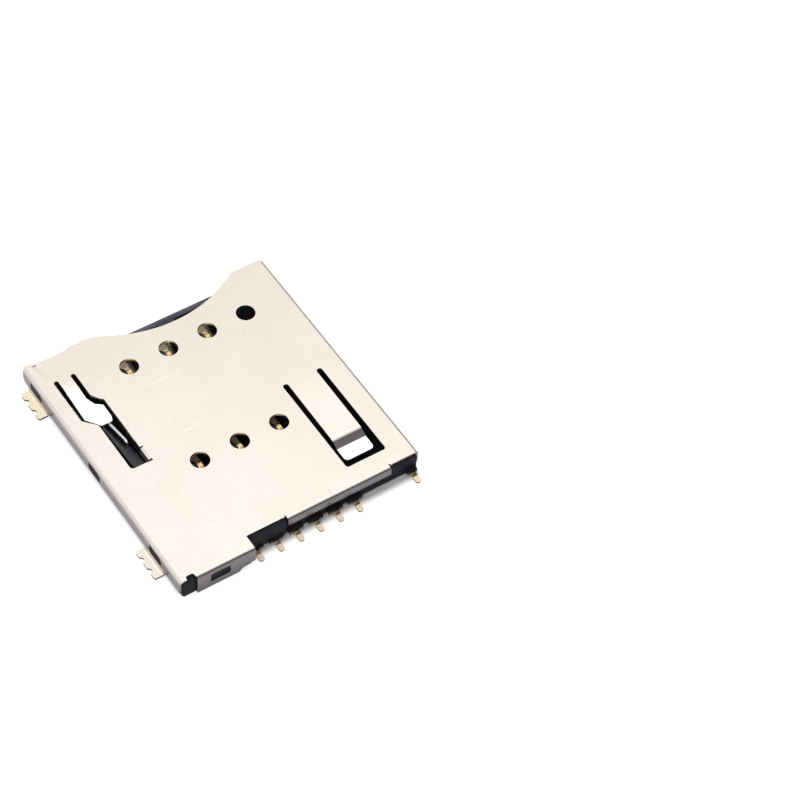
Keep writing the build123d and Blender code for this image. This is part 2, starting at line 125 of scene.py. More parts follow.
# Studio: bright areas round the socket, each with its direction, the cosines between which it
# brightens towards its middle, and its light outside and inside
BRIGHT_AREAS = (
    # wide window behind the socket, with the light of the dim room round it
    ((-0.36, -0.28, 0.89), (0.84, 0.97), (0.34, 1.24)),
    # window behind the camera
    ((0.40, 0.45, 0.80), (0.78, 0.96), (0.0, 1.9)),
    # white card beside the mechanism, which lights the fold of that wall
    ((0.56, -0.54, 0.63), (0.74, 0.92), (0.0, 0.75)),
)
ROOM_COLOUR = (1.0, 0.985, 0.97, 1)

# Camera of the photograph: its place and clipping in metres, its axes, and its lens in millimetres
CAMERA_PLACE = (0.052389, 0.083228, 0.127301)
CAMERA_RIGHT = (-0.83125, 0.55291, 0.05764)
CAMERA_UP = (-0.40444, -0.67265, 0.61965)
CAMERA_BACK = (0.38138, 0.49177, 0.78276)
CAMERA_CLIP = (0.001, 10.0)
CAMERA_LENS = 130.22
SENSOR_WIDTH = 36.0

# Short names of the node kinds that recur
MATH = "ShaderNodeMath"
MIX = "ShaderNodeMix"
RANGE = "ShaderNodeMapRange"
NOISE = "ShaderNodeTexNoise"
MAPPING = "ShaderNodeMapping"
BUMP = "ShaderNodeBump"
SPLIT = "ShaderNodeSeparateXYZ"

# Settings that recur: a colour mix, and a range with soft ends
RGBA = {"data_type": "RGBA"}
SOFT = {"interpolation_type": "SMOOTHSTEP"}


# Colour and node helpers


def paint(hex_value):
    """Turns an sRGB hex value into the linear colour that the shaders use."""
    channels = [int(hex_value[start : start + 2], 16) / 255 for start in (1, 3, 5)]
    linear = [value / 12.92 if value <= 0.04045 else ((value + 0.055) / 1.055) ** 2.4 for value in channels]
    return (*linear, 1.0)


def feed(tree, node, feeds):
    """Feeds a node's inputs with numbers or hex colours, or with links from nodes or sockets."""
    for name, value in feeds.items():
        if isinstance(value, bpy.types.Node):
            value = next(output for output in value.outputs if output.enabled)
        if isinstance(value, bpy.types.NodeSocket):
            tree.links.new(value, node.inputs[name])
        elif isinstance(value, str):
            node.inputs[name].default_value = paint(value)
        else:
            node.inputs[name].default_value = value


def put(tree, kind, feeds=None, **settings):
    """Adds one node with its settings and with what feeds its inputs."""
    node = tree.nodes.new(kind)
    for name, value in settings.items():
        setattr(node, name, value)
    feed(tree, node, feeds or {})
    return node


def start_material(name):
    """A new node material with its output, its main shader and coordinates in millimetres."""
    material = bpy.data.materials.new(name)
    material.use_nodes = True
    tree = material.node_tree
    tree.nodes.clear()
    shader = put(tree, "ShaderNodeBsdfPrincipled")
    put(tree, "ShaderNodeOutputMaterial", {"Surface": shader})
    metres = put(tree, "ShaderNodeTexCoord").outputs["Object"]
    place = put(tree, MAPPING, {"Vector": metres, "Scale": (1 / MM, 1 / MM, 1 / MM)})
    return material, tree, shader, place


def within(tree, value, span, fade):
    """1 where a value lies in a span, falling to 0 over the fade outside."""
    low, high = span
    rise = put(tree, RANGE, {"Value": value, "From Min": low - fade, "From Max": low})
    past = {"From Min": high, "From Max": high + fade, "To Min": 1.0, "To Max": 0.0}
    fall = put(tree, RANGE, {"Value": value, **past})
    return put(tree, MATH, {0: rise, 1: fall}, operation="MULTIPLY")


def in_plan(tree, axes, x_span, y_span, fade=FADE):
    """1 inside a rectangle seen from above, in millimetres."""
    across = within(tree, axes["X"], x_span, fade)
    along = within(tree, axes["Y"], y_span, fade)
    return put(tree, MATH, {0: across, 1: along}, operation="MULTIPLY")


# Materials


def rolled_face(tree, colours, place, axes, sand):
    """Colour of the rolled face, with its sand, its clouds, its painted highlights and the marks of the
    strip feeder.
    """
    # soft clouds from the rolls, 3.5 mm wide
    cloud = put(tree, NOISE, {"Vector": place, "Scale": 1 / 3.5, "Detail": 2.0, "Roughness": OCTAVE})
    grain = put(tree, RANGE, {"Value": sand, **SAND_SPAN}, **SOFT)
    steel = put(tree, MIX, {"Factor": grain, "A": colours.steel_low, "B": colours.steel}, **RGBA)
    # the sheet is painted a little paler towards the rear corner of the mechanism side, a painted
    # highlight, and is paler in the clouds
    corner = put(tree, MATH, {0: axes["X"], 1: axes["Y"]}, operation="ADD")
    span = {"From Min": -12.0, "From Max": 14.0, "To Max": 0.55}
    corner = put(tree, RANGE, {"Value": corner, **span}, **SOFT)
    cloudy = put(tree, RANGE, {"Value": cloud, "From Min": 0.35, "From Max": 0.7, "To Max": 0.2}, **SOFT)
    pale = put(tree, MATH, {0: corner, 1: cloudy}, operation="ADD")
    # the latch tongue is painted paler than the sheet round it, a painted highlight
    tongue = in_plan(tree, axes, LATCH_TONGUE_X, LATCH_TONGUE_Y, TONGUE_FADE)
    tongue = put(tree, MATH, {0: tongue, 1: 0.25}, operation="MULTIPLY")
    pale = put(tree, MATH, {0: pale, 1: tongue}, operation="ADD")
    steel = put(tree, MIX, {"Factor": pale, "A": steel, "B": colours.steel_clouds_and_highlight}, **RGBA)
    # two hairline marks of the strip feeder across the top, 0.02 mm wide with soft sides
    for x_span, y in FEEDER_MARKS:
        mark = in_plan(tree, axes, x_span, (y - 0.01, y + 0.01))
        mark = put(tree, MATH, {0: mark, 1: 0.5}, operation="MULTIPLY")
        steel = put(tree, MIX, {"Factor": mark, "A": steel, "B": colours.steel_mark}, **RGBA)
    return steel


def painted_highlight_places(tree, colours, axes, steel):
    """Adds a painted highlight on the paddle and the latch tip, and a painted shade on the ramp of the
    latch.
    """
    # painted highlight on the paddle, below the top face, and on the flat latch tip
    low, high = PAINTED_HIGHLIGHT_Z
    below_top = put(tree, RANGE, {"Value": axes["Z"], "From Min": high, "From Max": low}, **SOFT)
    paddle = in_plan(tree, axes, PADDLE_X, PADDLE_Y)
    paddle = put(tree, MATH, {0: below_top, 1: paddle}, operation="MULTIPLY")
    tip = in_plan(tree, axes, LATCH_X, LATCH_TIP_Y, CREASE_FADE)
    painted_highlight = put(tree, MATH, {0: paddle, 1: tip}, operation="MAXIMUM")
    steel = put(tree, MIX, {"Factor": painted_highlight, "A": steel, "B": colours.steel_painted_highlight}, **RGBA)
    # painted shade on the ramp of the latch, darker towards the tip
    start, end = LATCH_RAMP_Y
    span = {"From Min": start, "From Max": start + RAMP_FADE, "To Max": 0.85}
    ramp_shade = put(tree, RANGE, {"Value": axes["Y"], **span})
    before_tip = put(tree, MATH, {0: axes["Y"], 1: end}, operation="LESS_THAN")
    ramp = put(tree, MATH, {0: ramp_shade, 1: before_tip}, operation="MULTIPLY")
    across = within(tree, axes["X"], LATCH_X, CREASE_FADE)
    ramp = put(tree, MATH, {0: ramp, 1: across}, operation="MULTIPLY")
    return put(tree, MIX, {"Factor": ramp, "A": steel, "B": colours.steel_deep_shade}, **RGBA)


def painted_shade_folds(tree, colours, axes, sand, steel):
    """Adds the side walls, the rear lip and the rear flange, painted grey as a painted shade.

    Returns the colour and the mask of the side walls.
    """
    wide = put(tree, MATH, {0: axes["X"]}, operation="ABSOLUTE")
    walls = put(tree, MATH, {0: wide, 1: WALL_X}, operation="GREATER_THAN")
    between = put(tree, MATH, {0: wide, 1: WALL_X}, operation="LESS_THAN")
    rear = put(tree, MATH, {0: axes["Y"], 1: REAR_FOLD_Y}, operation="GREATER_THAN")
    rear = put(tree, MATH, {0: rear, 1: between}, operation="MULTIPLY")
    folded = put(tree, MATH, {0: walls, 1: rear}, operation="MAXIMUM")
    # on the card's side and at the rear the painted shade of a fold turns grey at once
    hard = put(tree, MATH, {0: axes["X"], 1: 0.0}, operation="LESS_THAN")
    hard = put(tree, MATH, {0: hard, 1: rear}, operation="MAXIMUM")
    low, high = FOLD_SHADE_Z
    grey_below = put(tree, RANGE, {"Value": hard, "To Min": low, "To Max": high})
    turned = put(tree, RANGE, {"Value": axes["Z"], "From Min": FOLD_TOP_Z, "From Max": grey_below})
    turned = put(tree, MATH, {0: folded, 1: turned}, operation="MULTIPLY")
    # painted shade: the walls are painted darker towards the board, and in spots of the sand
    lower = put(tree, RANGE, {"Value": axes["Z"], "From Min": 1.10, "From Max": 0.0})
    painted_shade = put(tree, MIX, {"Factor": lower, "A": colours.steel_wall_shade, "B": colours.steel_deep_shade}, **RGBA)
    dull = put(tree, RANGE, {"Value": sand, **SAND_SPAN, "To Max": 0.25}, **SOFT)
    painted_shade = put(tree, MIX, {"Factor": dull, "A": painted_shade, "B": colours.steel_deep_shade}, **RGBA)
    return put(tree, MIX, {"Factor": turned, "A": steel, "B": painted_shade}, **RGBA), walls


def tab_flash(tree, colours, axes, sand):
    """Colour of the gold flash on the solder tabs, with painted highlight and painted shade."""
    # the rear tabs are painted paler, a painted highlight
    dipped = put(tree, RANGE, {"Value": axes["Y"], "From Min": -4.0, "From Max": 4.0}, **SOFT)
    flash = put(tree, MIX, {"Factor": dipped, "A": colours.tab_gold, "B": colours.tab_rear_highlight}, **RGBA)
    low_spots = put(tree, RANGE, {"Value": sand, **NOISE_SPAN, "To Min": 0.25, "To Max": 0.0}, **SOFT)
    gold = put(tree, MIX, {"Factor": low_spots, "A": flash, "B": colours.gold_low}, **RGBA)
    # the bend of a tab is painted brown, a painted shade
    bend = within(tree, axes["Z"], TAB_BEND_Z, BEND_FADE)
    bend = put(tree, MATH, {0: bend, 1: 0.6}, operation="MULTIPLY")
    gold = put(tree, MIX, {"Factor": bend, "A": gold, "B": colours.tab_bend_shade}, **RGBA)
    # the side that sits on the solder kept its full gold
    bottom, top = TAB_SOLE_Z
    sole = put(tree, RANGE, {"Value": axes["Z"], "From Min": top, "From Max": bottom, "To Max": 0.8})
    gold = put(tree, MIX, {"Factor": sole, "A": gold, "B": colours.gold}, **RGBA)
    # the cut edge of a tab is bare, and is painted dark under its plated face, a painted shade
    cut = within(tree, axes["Z"], TAB_EDGE_Z, EDGE_FADE)
    return put(tree, MIX, {"Factor": cut, "A": gold, "B": colours.cut_edge_shade}, **RGBA)


def stainless_sheet(colours):
    """Stainless strip, cold rolled with a pearl matt face, then punched and bent.

    The eye sees a warm pale metal with a sandy sparkle. The bends and the folded walls are painted
    a darker, cooler grey towards the board, a painted shade for the dark that they reflect. Below the
    cut edge of the side walls the solder tabs, which were dipped in the plating bath, show a gold flash.
    """
    material, tree, shader, place = start_material("stainless_sheet_pearl_matt_gold_flashed_tabs")
    # the sandy face has grains of 0.05 mm, drawn at 0.09 mm to show
    sand = put(tree, NOISE, {"Vector": place, "Scale": 1 / 0.09, "Detail": 3.0, "Roughness": OCTAVE})
    axes = put(tree, SPLIT, {"Vector": place}).outputs
    steel = rolled_face(tree, colours, place, axes, sand)
    steel = painted_highlight_places(tree, colours, axes, steel)
    steel, walls = painted_shade_folds(tree, colours, axes, sand, steel)
    # plating reaches from the board up to the cut edge of the walls
    bottom, top = PLATED_Z
    span = {"From Min": bottom, "From Max": top, "To Min": 1.0, "To Max": 0.0}
    plated = put(tree, RANGE, {"Value": axes["Z"], **span}, **SOFT)
    plated = put(tree, MATH, {0: plated, 1: walls}, operation="MULTIPLY")
    before_flange = put(tree, MATH, {0: axes["Y"], 1: PLATED_Y}, operation="LESS_THAN")
    plated = put(tree, MATH, {0: plated, 1: before_flange}, operation="MULTIPLY")
    gold = tab_flash(tree, colours, axes, sand)
    colour = put(tree, MIX, {"Factor": plated, "A": steel, "B": gold}, **RGBA)
    # the flash is matt and partly oxide, the rolled face is bare and satin
    bare = put(tree, RANGE, {"Value": plated, "To Min": 1.0, "To Max": 0.10})
    satin = put(tree, RANGE, {"Value": sand, **NOISE_SPAN, "To Min": 0.24, "To Max": 0.33}, **SOFT)
    matt = put(tree, MATH, {0: plated, 1: 0.30}, operation="MULTIPLY")
    rough = put(tree, MATH, {0: satin, 1: matt}, operation="ADD")
    # hills of 0.001 mm in the rolled face
    bump = put(tree, BUMP, {"Height": sand, "Distance": 0.001 * MM})
    feed(tree, shader, {"Base Color": colour, "Metallic": bare, "Roughness": rough, "Normal": bump})
    return material


def liquid_crystal_polymer(colours):
    """Glass filled liquid crystal polymer, injection moulded.

    The eye sees a dull slate black with pale clouds where the melt flowed and fine fibre specks.
    """
    material, tree, shader, place = start_material("liquid_crystal_polymer_black_moulded")
    # the melt ran along the base, so its clouds are 2.2 mm wide and twice as long
    along = put(tree, MAPPING, {"Vector": place, "Scale": (1.0, 0.45, 1.0)})
    flow = put(tree, NOISE, {"Vector": along, "Scale": 1 / 2.2, "Detail": 4.0, "Roughness": OCTAVE})
    # glass fibres are 0.01 mm thick, drawn as specks of 0.07 mm to show
    specks = put(tree, NOISE, {"Vector": place, "Scale": 1 / 0.07, "Detail": 2.0, "Roughness": OCTAVE})
    axes = put(tree, SPLIT, {"Vector": place}).outputs
    clouds = put(tree, RANGE, {"Value": flow, "From Min": 0.35, "From Max": 0.75}, **SOFT)
    colour = put(tree, MIX, {"Factor": clouds, "A": colours.plastic, "B": colours.plastic_pale}, **RGBA)
    fibres = put(tree, RANGE, {"Value": specks, "From Min": 0.55, "From Max": 0.8, "To Max": 0.5}, **SOFT)
    colour = put(tree, MIX, {"Factor": fibres, "A": colour, "B": colours.plastic_fibre}, **RGBA)
    # the skin at the mouth and above the underside is painted paler, and at the mouth this is a painted
    # sheen
    front, back = MOUTH_Y
    span = {"From Min": back, "From Max": front, "To Max": 0.85}
    mouth = put(tree, RANGE, {"Value": axes["Y"], **span}, **SOFT)
    bottom, top = UNDERSIDE_Z
    span = {"From Min": top, "From Max": bottom, "To Max": 0.85}
    under = put(tree, RANGE, {"Value": axes["Z"], **span}, **SOFT)
    mouth_sheen_and_underside = put(tree, MATH, {0: mouth, 1: under}, operation="MAXIMUM")
    milky = put(tree, RANGE, {"Value": flow, **NOISE_SPAN}, **SOFT)
    skin = put(tree, MIX, {"Factor": milky, "A": colours.plastic_sheen_and_skin, "B": colours.plastic_milky}, **RGBA)
    colour = put(tree, MIX, {"Factor": mouth_sheen_and_underside, "A": colour, "B": skin}, **RGBA)
    rough = put(tree, RANGE, {"Value": specks, **NOISE_SPAN, "To Min": 0.46, "To Max": 0.62}, **SOFT)
    # fibre ends stand 0.004 mm proud
    bump = put(tree, BUMP, {"Height": specks, "Distance": 0.004 * MM})
    feed(tree, shader, {"Base Color": colour, "Roughness": rough, "Normal": bump})
    feed(tree, shader, {"IOR": 1.45, "Specular IOR Level": 0.12})
    return material


def slider_polymer(colours):
    """Unfilled black polymer, injection moulded in a polished tool, so smoother than the base."""
    material, tree, shader, place = start_material("polymer_black_moulded_smooth")
    # flow clouds 0.8 mm wide, and the polishing marks of the tool 0.1 mm apart
    flow = put(tree, NOISE, {"Vector": place, "Scale": 1 / 0.8, "Detail": 3.0, "Roughness": OCTAVE})
    marks = put(tree, NOISE, {"Vector": place, "Scale": 1 / 0.10, "Detail": 2.0, "Roughness": OCTAVE})
    clouds = put(tree, RANGE, {"Value": flow, "From Min": 0.4, "From Max": 0.7}, **SOFT)
    colour = put(tree, MIX, {"Factor": clouds, "A": colours.slider, "B": colours.slider_pale}, **RGBA)
    rough = put(tree, RANGE, {"Value": flow, **NOISE_SPAN, "To Min": 0.28, "To Max": 0.40}, **SOFT)
    bump = put(tree, BUMP, {"Height": marks, "Distance": 0.002 * MM})
    feed(tree, shader, {"Base Color": colour, "Roughness": rough, "Normal": bump, "IOR": 1.50})
    return material


def contact_strip(colours):
    """Phosphor bronze strip, nickel plated all over, gold plated at the contact points and tails.

    The eye sees a brownish grey metal with fine rolling lines, rich gold at the contact point and
    matt pale gold at the tail.
    """
    material, tree, shader, place = start_material("phosphor_bronze_nickel_and_gold_plated")
    # rolling lines 0.05 mm apart, run out twelve times as long
    drawn_out = put(tree, MAPPING, {"Vector": place, "Scale": (1.0, 0.08, 1.0)})
    rolled = put(tree, NOISE, {"Vector": drawn_out, "Scale": 1 / 0.05, "Detail": 2.0, "Roughness": OCTAVE})
    nickel = put(tree, MIX, {"Factor": rolled, "A": colours.nickel_low, "B": colours.nickel}, **RGBA)
    gold = put(tree, MIX, {"Factor": rolled, "A": colours.gold_low, "B": colours.gold}, **RGBA)
    dipped = put(tree, MIX, {"Factor": rolled, "A": colours.tail_low, "B": colours.tail}, **RGBA)
    axes = put(tree, SPLIT, {"Vector": place}).outputs
    low, high = POINT_Z
    point = put(tree, RANGE, {"Value": axes["Z"], "From Min": low, "From Max": high}, **SOFT)
    colour = put(tree, MIX, {"Factor": point, "A": nickel, "B": gold}, **RGBA)
    # the strip is a pale gold below 0.13 mm, on the side towards the board
    low, high = STRIP_BELOW_Z
    below = put(tree, RANGE, {"Value": axes["Z"], "From Min": high, "From Max": low})
    colour = put(tree, MIX, {"Factor": below, "A": colour, "B": colours.strip_below}, **RGBA)
    # the pads of the tails were dipped in flux and solder over the gold
    front, back = PAD_Y
    pad = put(tree, RANGE, {"Value": axes["Y"], "From Min": front, "From Max": back}, **SOFT)
    colour = put(tree, MIX, {"Factor": pad, "A": colour, "B": dipped}, **RGBA)
    # the cut edge of a pad is bare, and is painted dark under its dipped face, a painted shade
    cut = within(tree, axes["Z"], PAD_EDGE_Z, EDGE_FADE)
    cut = put(tree, MATH, {0: cut, 1: pad}, operation="MULTIPLY")
    colour = put(tree, MIX, {"Factor": cut, "A": colour, "B": colours.cut_edge_shade}, **RGBA)
    # dipped metal is matt and partly oxide, bare plating is bright
    bare = put(tree, RANGE, {"Value": pad, "To Min": 1.0, "To Max": 0.20})
    bright = put(tree, RANGE, {"Value": rolled, **NOISE_SPAN, "To Min": 0.20, "To Max": 0.32}, **SOFT)
    matt = put(tree, MATH, {0: pad, 1: 0.25}, operation="MULTIPLY")
    rough = put(tree, MATH, {0: bright, 1: matt}, operation="ADD")
    # rolling lines 0.001 mm deep
    bump = put(tree, BUMP, {"Height": rolled, "Distance": 0.001 * MM})
    feed(tree, shader, {"Base Color": colour, "Metallic": bare, "Roughness": rough, "Normal": bump})
    return material


def spring_wire_steel(colours):
    """Drawn stainless spring wire: bright, with the fine texture of the drawing die."""
    material, tree, shader, place = start_material("stainless_spring_wire_drawn")
    # die marks are finer than 0.01 mm, drawn at 0.04 mm to show
    drawn = put(tree, NOISE, {"Vector": place, "Scale": 1 / 0.04, "Detail": 2.0, "Roughness": OCTAVE})
    colour = put(tree, MIX, {"Factor": drawn, "A": colours.wire_low, "B": colours.wire}, **RGBA)
    rough = put(tree, RANGE, {"Value": drawn, **NOISE_SPAN, "To Min": 0.16, "To Max": 0.26}, **SOFT)
    bump = put(tree, BUMP, {"Height": drawn, "Distance": 0.0008 * MM})
    feed(tree, shader, {"Base Color": colour, "Metallic": 1.0, "Roughness": rough, "Normal": bump})
    return material


def paper_sweep(colours):
    """White paper background of a product studio. It is seen white and keeps the soft shadow."""
    material, tree, shader, place = start_material("white_paper_sweep")
    # paper fibres form clouds of 0.4 mm
    fibre = put(tree, NOISE, {"Vector": place, "Scale": 1 / 0.4, "Detail": 2.0, "Roughness": OCTAVE})
    colour = put(tree, MIX, {"Factor": fibre, "A": colours.paper_low, "B": colours.paper}, **RGBA)
    path = put(tree, "ShaderNodeLightPath").outputs
    seen = put(tree, MATH, {0: path["Is Camera Ray"], 1: path["Is Glossy Ray"]}, operation="MAXIMUM")
    seen = put(tree, MATH, {0: seen, 1: path["Is Transmission Ray"]}, operation="MAXIMUM")
    # the glow is left out under the socket, a painted contact shadow
    axes = put(tree, SPLIT, {"Vector": place}).outputs
    under = in_plan(tree, axes, SHADOW_X, SHADOW_Y, SHADOW_FADE)
    beside = put(tree, MATH, {0: 1.0, 1: under}, operation="SUBTRACT")
    seen = put(tree, MATH, {0: seen, 1: beside}, operation="MULTIPLY")
    glow = put(tree, MATH, {0: seen, 1: 0.66}, operation="MULTIPLY")
    feed(tree, shader, {"Base Color": colour, "Roughness": 0.9})
    feed(tree, shader, {"Emission Color": (1, 1, 1, 1), "Emission Strength": glow})
    return material


# Shapes


def dress(name, material):
    """Gives a CAD node a material."""
    slots = NODES[name].material_slots
    if not slots:
        NODES[name].data.materials.append(material)
    for slot in slots:
        slot.material = material


def finish_piece(name, bm, body, material):
    """Makes an object at the origin from a bmesh, smooth, riding on a body."""
    mesh = bpy.data.meshes.new(name)
    bm.to_mesh(mesh)
    bm.free()
    mesh.materials.append(material)
    for polygon in mesh.polygons:
        polygon.use_smooth = True
    piece = bpy.data.objects.new(name, mesh)
    bpy.context.scene.collection.objects.link(piece)
    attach(piece, body)
    return piece


def round_off(bm, edges, width, segments):
    """Rounds edges by width."""
    bmesh.ops.bevel(
        bm,
        geom=edges,
        offset=width,
        offset_type="OFFSET",
        affect="EDGES",
        segments=segments,
        profile=0.5,
        material=-1,
        clamp_overlap=True,
        loop_slide=True,
    )


def shade_edge(edge):
    """Shades an edge smooth, but keeps a crease between two wide faces crisp even where it is shallow."""
    turn = math.degrees(edge.calc_face_angle())
    wide = min(face.calc_area() for face in edge.link_faces) > WIDE_FACE
    edge.smooth = turn < SMOOTH_TURN and not (wide and turn > WIDE_SMOOTH_TURN)


def rounded_copy(name, width, body, material, softer=()):
    """Copy of a CAD node with its edges rounded by width, as a punch or a mould leaves them.

    softer holds pairs of an edge test and a width, for edges that are rounder than the rest.
    """
    bm = bmesh.new()
    bm.from_mesh(NODES[name].data)
    bmesh.ops.remove_doubles(bm, verts=bm.verts, dist=WELD)
    bmesh.ops.dissolve_limit(
        bm, angle_limit=FLAT_ANGLE, use_dissolve_boundaries=False, verts=bm.verts, edges=bm.edges
    )
    for is_soft, soft_width in softer:
        round_off(bm, [edge for edge in bm.edges if is_soft(edge)], soft_width, SOFT_STEPS)
    crisp = [edge for edge in bm.edges if edge.is_manifold and edge.calc_face_angle() > CRISP_ANGLE]
    round_off(bm, crisp, width, CRISP_STEPS)
    bmesh.ops.triangulate(bm, faces=[face for face in bm.faces if len(face.verts) > 4])
    # no corner of the rounding stands past the node's own box
    low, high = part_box(name)
    for vert in bm.verts:
        vert.co = [min(max(value, low[i]), high[i]) for i, value in enumerate(vert.co)]
    for edge in bm.edges:
        if edge.is_manifold:
            shade_edge(edge)
    piece = finish_piece(name + "_rounded", bm, body, material)
    flatten = piece.modifiers.new("flat_faces", "WEIGHTED_NORMAL")
    flatten.weight = 100
    flatten.keep_sharp = True
    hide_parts(name)
    return piece


def wire_ring(bm, radius, sides, centre, along):
    """Starts a wire in an empty bmesh: a circle round a centre that faces along, with one axis on X."""
    bmesh.ops.create_circle(bm, segments=sides, radius=radius, cap_ends=False)
    across, along = Vector((1, 0, 0)), along.normalized()
    turn = Matrix((across, along.cross(across).normalized(), along)).transposed().to_4x4()
    bmesh.ops.transform(bm, matrix=Matrix.Translation(centre) @ turn, verts=bm.verts)
    return [*bm.verts, *bm.edges]


def draw_on(bm, ring, shift=(0, 0, 0), centre=(0, 0, 0), axis=(0, 0, 1), angle=0.0, steps=1):
    """Carries a ring of edges on, straight by shift or round a centre, and returns its last place.

    With both, each of the steps also moves on by shift.
    """
    move = {"cent": centre, "axis": axis, "dvec": shift, "angle": angle, "steps": steps}
    return bmesh.ops.spin(bm, geom=ring, use_merge=False, use_duplicate=False, **move)["geom_last"]


def close_ends(bm):
    """Caps the open ends of a swept tube and turns all faces out."""
    bmesh.ops.remove_doubles(bm, verts=bm.verts, dist=1e-9)
    bmesh.ops.holes_fill(bm, edges=[edge for edge in bm.edges if edge.is_boundary], sides=0)
    bmesh.ops.recalc_face_normals(bm, faces=bm.faces)


def lies_in(edge, low, high):
    """True for an edge with both ends between two corners, in millimetres."""
    return all(low[i] < vert.co[i] / MM < high[i] for vert in edge.verts for i in range(3))


def run_of(edge):
    """How far an edge runs along each axis, in millimetres."""
    start, end = (vert.co / MM for vert in edge.verts)
    return [abs(value) for value in end - start]


def latch_crease(edge):
    """True for the upper crease of the ramp near the tip of the latch tongue, on both faces."""
    return run_of(edge)[0] > 1.5 and lies_in(edge, (-6.2, 4.4, 1.1), (-4.1, 4.6, 1.5))


def window_corner(edge):
    """True for the upright edge at the rear corner of the opening over the slider."""
    return run_of(edge)[2] > 0.1 and lies_in(edge, (6.1, 0.6, 0.0), (6.3, 0.65, 1.5))


# Settings


class SOCKET_PG_sizes(bpy.types.PropertyGroup):
    """Sizes of the pieces that are modelled here."""

    spring_wire: FloatProperty(
        name="Spring wire",
        description="Wire diameter of the coil spring",
        default=0.15 * MM,
        unit="LENGTH",
    )
    spring_turns: IntProperty(
        name="Spring turns",
        description="Number of turns of the coil spring",
        default=15,
    )
    spring_kept: FloatProperty(
        name="Spring kept",
        description="Share of the spring's length left when the slider is in",
        default=0.49,
        subtype="FACTOR",
    )
    cam_wire: FloatProperty(
        name="Cam wire",
        description="Diameter of the bent wire in the cam lane",
        default=0.28 * MM,
        unit="LENGTH",
    )
    wire_bend: FloatProperty(
        name="Wire bend",
        description="Centre line radius of the cam wire's bends",
        default=0.19 * MM,
        unit="LENGTH",
    )
    punched_edge: FloatProperty(
        name="Punched edge",
        description="Rounding left by punch and tumbling",
        default=0.014 * MM,
        unit="LENGTH",
    )
    latch_bend: FloatProperty(
        name="Latch bend",
        description="Length of the soft bend at the latch tip",
        default=0.16 * MM,
        unit="LENGTH",
    )
    window_corner: FloatProperty(
        name="Window corner",
        description="Corner of the opening over the slider",
        default=0.22 * MM,
        unit="LENGTH",
    )
    moulded_edge: FloatProperty(
        name="Moulded edge",
        description="Rounding of the mould's corners",
        default=0.02 * MM,
        unit="LENGTH",
    )
    floor_size: FloatProperty(
        name="Floor size",
        description="Width of the paper floor",
        default=2.0,
        unit="LENGTH",
    )


class SOCKET_PG_colours(bpy.types.PropertyGroup):
    """Colours of the finishes and of the painted light and shade, as sRGB hex values."""

    steel: StringProperty(name="Steel", description="Rolled steel face", default="#DCD4CA")
    steel_low: StringProperty(name="Steel low", description="Low spots of the steel", default="#D7CFC5")
    steel_clouds_and_highlight: StringProperty(name="Steel light", description="Pale clouds of steel", default="#E5E0DA")
    steel_mark: StringProperty(name="Steel mark", description="Bright feeder marks", default="#F4F1EC")
    steel_painted_highlight: StringProperty(name="Steel highlight", description="Paddle, latch tip", default="#FAF8F5")
    steel_wall_shade: StringProperty(name="Steel side", description="Painted shade of walls", default="#7C787C")
    steel_deep_shade: StringProperty(name="Steel foot", description="Walls near the board", default="#59555C")
    gold: StringProperty(name="Gold", description="Gold plating", default="#EAD3A4")
    gold_low: StringProperty(name="Gold low", description="Low spots of the plating", default="#DDC48C")
    strip_below: StringProperty(name="Strip below", description="Strip facing the board", default="#E2D2AE")
    tail: StringProperty(name="Tail", description="Dipped pads of the tails", default="#FBEBD2")
    tail_low: StringProperty(name="Tail low", description="Rolling lines of tails", default="#F0D9B8")
    tab_gold: StringProperty(name="Tab gold", description="Thin gold flash on the tabs", default="#FEF6E2")
    tab_rear_highlight: StringProperty(name="Tab pale", description="Gold flash on the rear tabs", default="#FEFCF8")
    cut_edge_shade: StringProperty(name="Cut edge", description="Cut edge of tabs and tails", default="#4E4034")
    tab_bend_shade: StringProperty(name="Tab brown", description="Painted shade in a tab's bend", default="#9A8468")
    nickel: StringProperty(name="Nickel", description="Nickel plated strip", default="#9E8F7C")
    nickel_low: StringProperty(name="Nickel low", description="Rolling lines of strip", default="#7C6C58")
    wire: StringProperty(name="Wire", description="Drawn spring wire", default="#D8D6D2")
    wire_low: StringProperty(name="Wire low", description="Die marks of the wire", default="#B5B2AE")
    plastic: StringProperty(name="Plastic", description="Moulded base", default="#121318")
    plastic_pale: StringProperty(name="Plastic pale", description="Clouds of the base", default="#1C1E25")
    plastic_fibre: StringProperty(name="Fibre", description="Fibre specks of the base", default="#383B44")
    plastic_sheen_and_skin: StringProperty(name="Skin", description="Skin of mouth and underside", default="#454953")
    plastic_milky: StringProperty(name="Milky skin", description="Pale clouds of the skin", default="#5A5E69")
    slider: StringProperty(name="Slider", description="Moulded slider", default="#14161C")
    slider_pale: StringProperty(name="Slider pale", description="Clouds of the slider", default="#242833")
    paper: StringProperty(name="Paper", description="Paper floor", default="#BABABA")
    paper_low: StringProperty(name="Paper low", description="Fibres of the floor", default="#B7B7B7")


# Operators


class SOCKET_OT_shell(bpy.types.Operator):
    """Finish of the sheet metal cover"""

    bl_idname = "socket.shell"
    bl_label = "Dress the shell"

    def execute(self, context):
        sizes = context.scene.socket_sizes
        steel = stainless_sheet(context.scene.socket_colours)
        dress("shell", steel)
        softer = ((latch_crease, sizes.latch_bend), (window_corner, sizes.window_corner))
        rounded_copy("shell", sizes.punched_edge, "frame", steel, softer)
        return {"FINISHED"}


class SOCKET_OT_housing(bpy.types.Operator):
    """Finish of the moulded base"""

    bl_idname = "socket.housing"
    bl_label = "Dress the housing"

    def execute(self, context):
        polymer = liquid_crystal_polymer(context.scene.socket_colours)
        dress("housing", polymer)
        rounded_copy("housing", context.scene.socket_sizes.moulded_edge, "frame", polymer)
        return {"FINISHED"}


